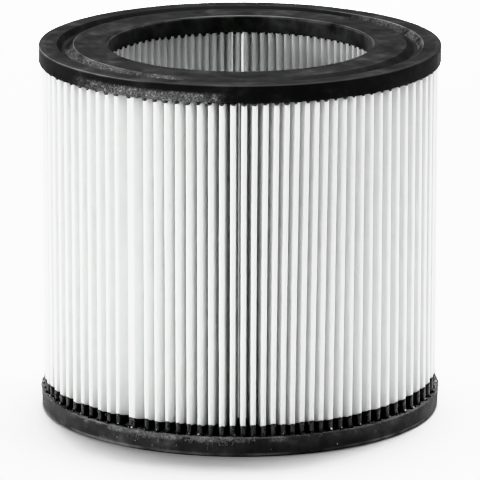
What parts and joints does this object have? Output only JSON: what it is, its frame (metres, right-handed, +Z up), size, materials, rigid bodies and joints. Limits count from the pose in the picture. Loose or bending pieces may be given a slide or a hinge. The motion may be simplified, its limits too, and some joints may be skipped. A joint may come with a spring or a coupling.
{
  "type": "pleated vacuum filter",
  "caption": "Round cartridge filter: a ring of white pleated fleece potted between a black open top ring with a sealing groove and a black closed bottom disc.",
  "frame": {"origin": "centre of the flat underside of the bottom end cap, on the filter's axis", "axes": "+Z up the filter's axis, out of the outlet bore; -Y faces the camera of the picture"},
  "size_m": [0.186, 0.186, 0.172],
  "materials": {
    "filter_fleece": "matte white spunbond polyester fleece, soaked black by the potting resin at its lower ends",
    "cap_polyurethane": "black moulded polyurethane with a dull satin skin"
  },
  "bodies": {
    "root": {"pleated_media": "filter_fleece", "top_end_cap": "cap_polyurethane", "bottom_end_cap": "cap_polyurethane"}
  },
  "joints": []
}
